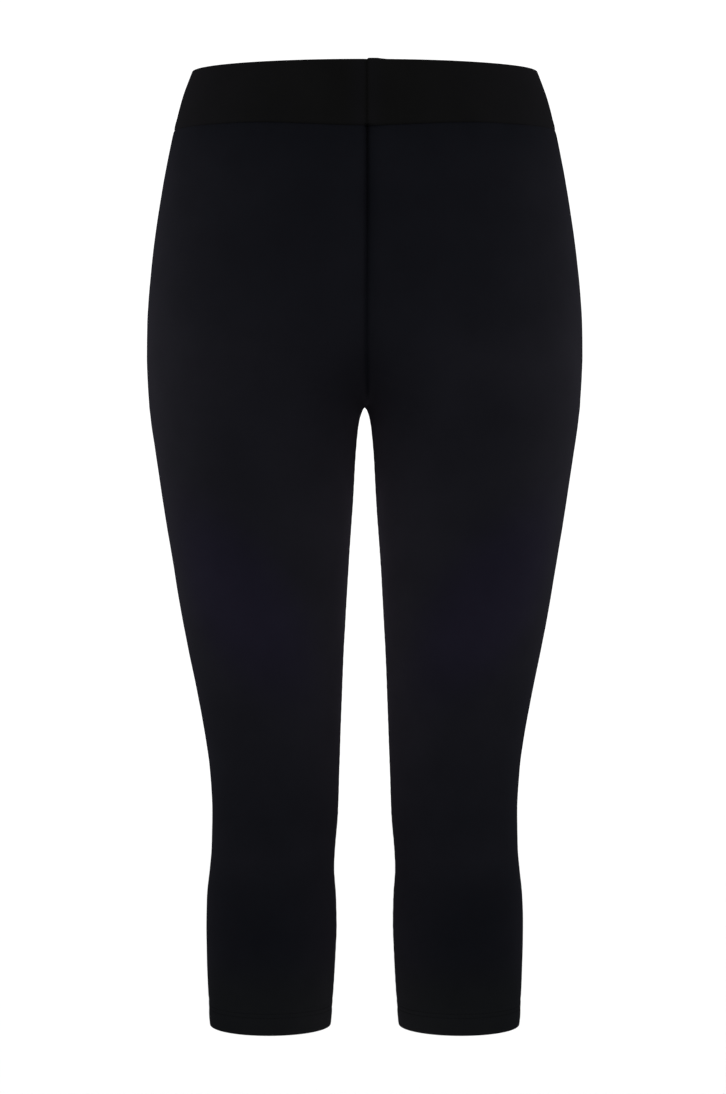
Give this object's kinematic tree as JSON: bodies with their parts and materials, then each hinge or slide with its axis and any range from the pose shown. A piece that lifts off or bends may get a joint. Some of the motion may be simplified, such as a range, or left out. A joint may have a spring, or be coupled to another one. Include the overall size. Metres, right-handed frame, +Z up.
{
  "type": "capri leggings",
  "caption": "Worn-form capri leggings: a wide waistband over two hollow tapering legs, joined by one centre seam and open at the waist and both hems.",
  "frame": {"origin": "middle of the waist opening, level with the waistband's top edge, where the wearer's waist holds the garment", "axes": "+Z up, -Y the front, +X the wearer's left"},
  "size_m": [0.36, 0.2356, 0.7882],
  "materials": {
    "jersey": "matte black stretch jersey, fine knit, soft violet-grey sheen at grazing angles",
    "waistband": "matte neutral black elasticated jersey, folded double"
  },
  "bodies": {
    "root": {"leg_left": "jersey", "leg_right": "jersey", "waistband_left": "waistband", "waistband_right": "waistband"}
  },
  "joints": []
}
